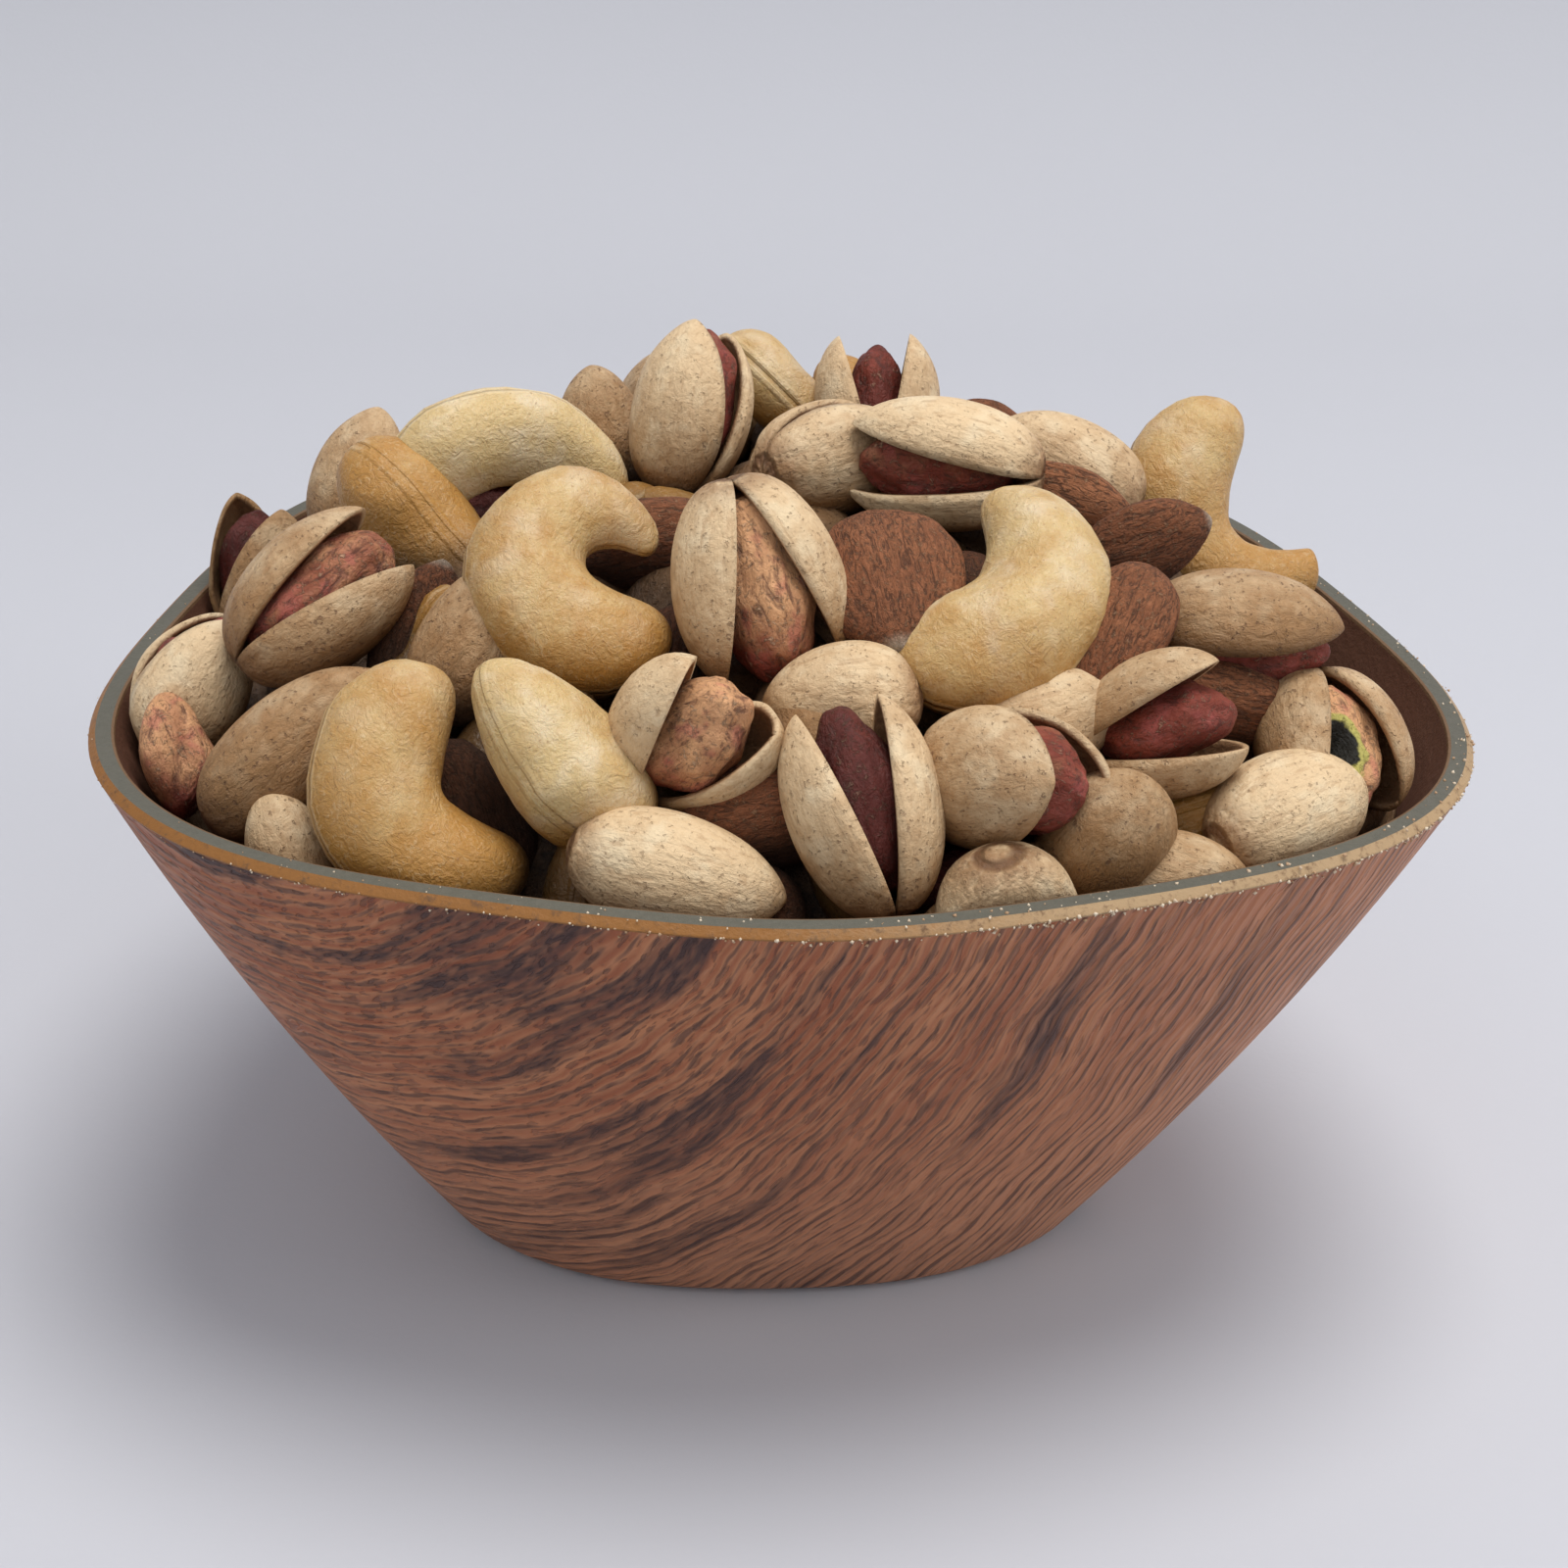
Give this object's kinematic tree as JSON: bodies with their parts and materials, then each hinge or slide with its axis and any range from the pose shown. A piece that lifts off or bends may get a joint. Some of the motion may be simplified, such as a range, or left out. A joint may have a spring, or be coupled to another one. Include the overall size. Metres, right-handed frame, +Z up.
{
  "type": "bowl of mixed nuts",
  "caption": "Rounded-triangle bowl with a wood-print wall and a flat ground rim, heaped above the rim with cashews, pistachios in split shells and almonds.",
  "frame": {"origin": "middle of the bounding box, on the surface the bowl stands on", "axes": "+Z up; +Y towards the bowl's back corner; -Y out of the flat side that is seen first; +X to the right of that side"},
  "size_m": [0.1518, 0.1525, 0.1002],
  "materials": {
    "wood_print": "satin wood-grain print",
    "nut": "matte, salted"
  },
  "bodies": {
    "root": {"bowl": "wood_print", "nut_heap": "nut"}
  },
  "joints": []
}
